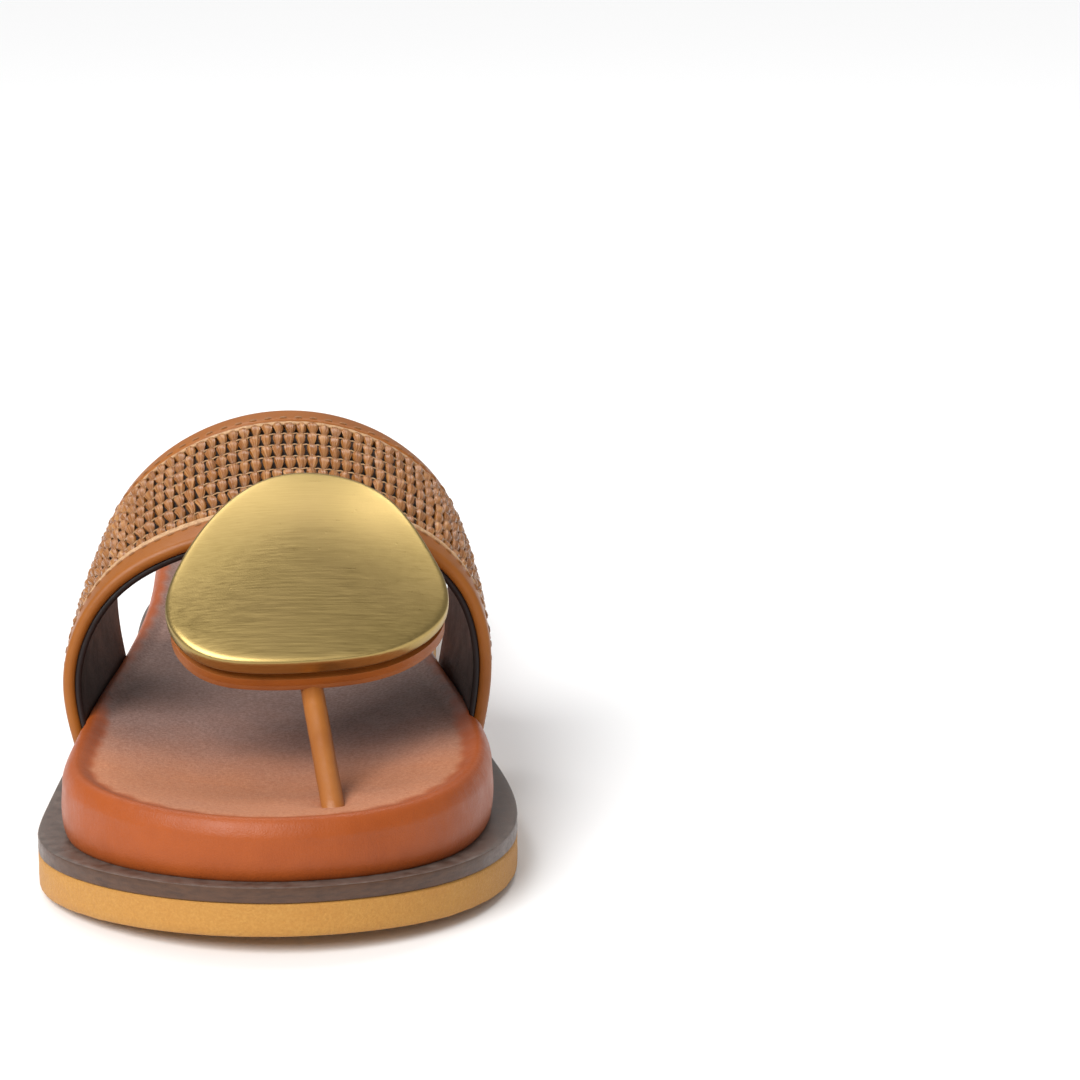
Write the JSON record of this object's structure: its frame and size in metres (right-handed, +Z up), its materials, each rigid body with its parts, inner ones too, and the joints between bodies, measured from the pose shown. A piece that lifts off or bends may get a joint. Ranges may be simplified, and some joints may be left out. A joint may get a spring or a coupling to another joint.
{
  "type": "flip flop",
  "caption": "Women's thong slide sandal, right foot: raffia instep band, toe post and domed brass ornament on a padded leather footbed.",
  "frame": {"origin": "middle of the sole's plan, on the ground under the outsole", "axes": "+Y toward the heel, +X toward the big-toe side, +Z up"},
  "size_m": [0.0968, 0.2587, 0.0797],
  "materials": {
    "outsole_foam": "matt, fine grain",
    "welt_board": "stained and waxed edge",
    "fibre_board": "matt",
    "core_foam": "matt",
    "footbed_leather": "smooth, satin",
    "tan_leather": "smooth, satin",
    "lining_leather": "smooth, satin",
    "raffia": "glossy twisted strips",
    "thread": "waxed",
    "brushed_brass": "brushed antique gold",
    "stud_metal": "satin"
  },
  "bodies": {
    "root": {"outsole": "outsole_foam", "welt": "welt_board", "insole_board": "fibre_board", "footbed_core": "core_foam", "footbed_foam": "core_foam", "footbed_cover": "footbed_leather", "strap_raffia": "raffia", "strap_reinforcement": "fibre_board", "strap_lining": "lining_leather", "strap_front_binding": "tan_leather", "strap_rear_binding": "tan_leather", "strap_front_stitching": "thread", "strap_rear_stitching": "thread", "toe_post_sleeve": "tan_leather", "toe_post_core": "thread", "toe_post_anchor": "stud_metal", "ornament_tab": "tan_leather", "ornament_tab_lining": "lining_leather", "ornament_disc": "brushed_brass", "ornament_studs": "stud_metal", "ornament_washers": "stud_metal", "ornament_stud_caps": "stud_metal"}
  },
  "joints": []
}
